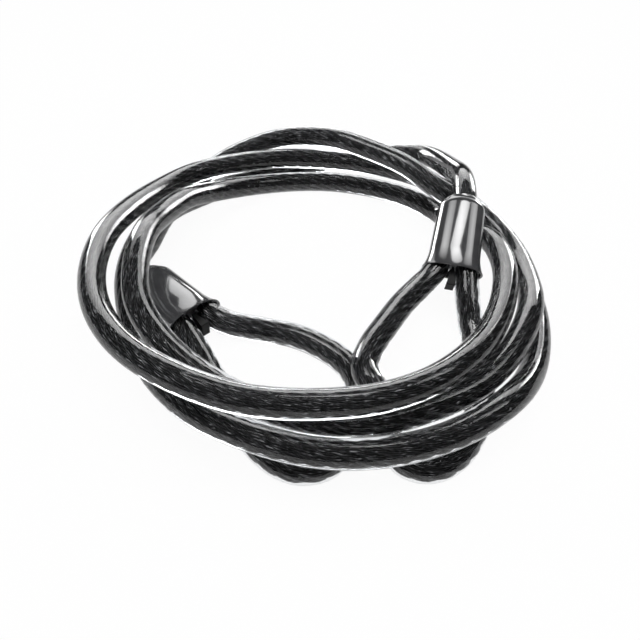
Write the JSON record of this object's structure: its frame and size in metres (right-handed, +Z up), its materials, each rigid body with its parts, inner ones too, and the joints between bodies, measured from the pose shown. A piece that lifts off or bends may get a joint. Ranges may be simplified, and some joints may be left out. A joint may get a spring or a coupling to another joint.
{
  "type": "double-loop security cable",
  "caption": "Coiled steel security cable in a clear jacket, folded into a crimped eye with a moulded cover at each end.",
  "frame": {"origin": "middle of the coiled cable's footprint, on the surface that it lies on", "axes": "+Z up through the coil; +X towards the side of the raised cover; -Y towards the two eyes' round ends"},
  "size_m": [0.1878, 0.1975, 0.0381],
  "materials": {
    "wire_rope": "stranded steel wire",
    "jacket": "clear glossy PVC",
    "ferrule": "pressed aluminium",
    "cover": "glossy dark grey moulding",
    "plug": "black moulding"
  },
  "bodies": {
    "root": {"wire_rope": "wire_rope", "coil_jacket": "jacket", "left_eye_jacket": "jacket", "right_eye_jacket": "jacket", "left_ferrule": "ferrule", "right_ferrule": "ferrule", "left_cover": "cover", "right_cover": "cover", "left_plug": "plug", "right_plug": "plug"}
  },
  "joints": []
}
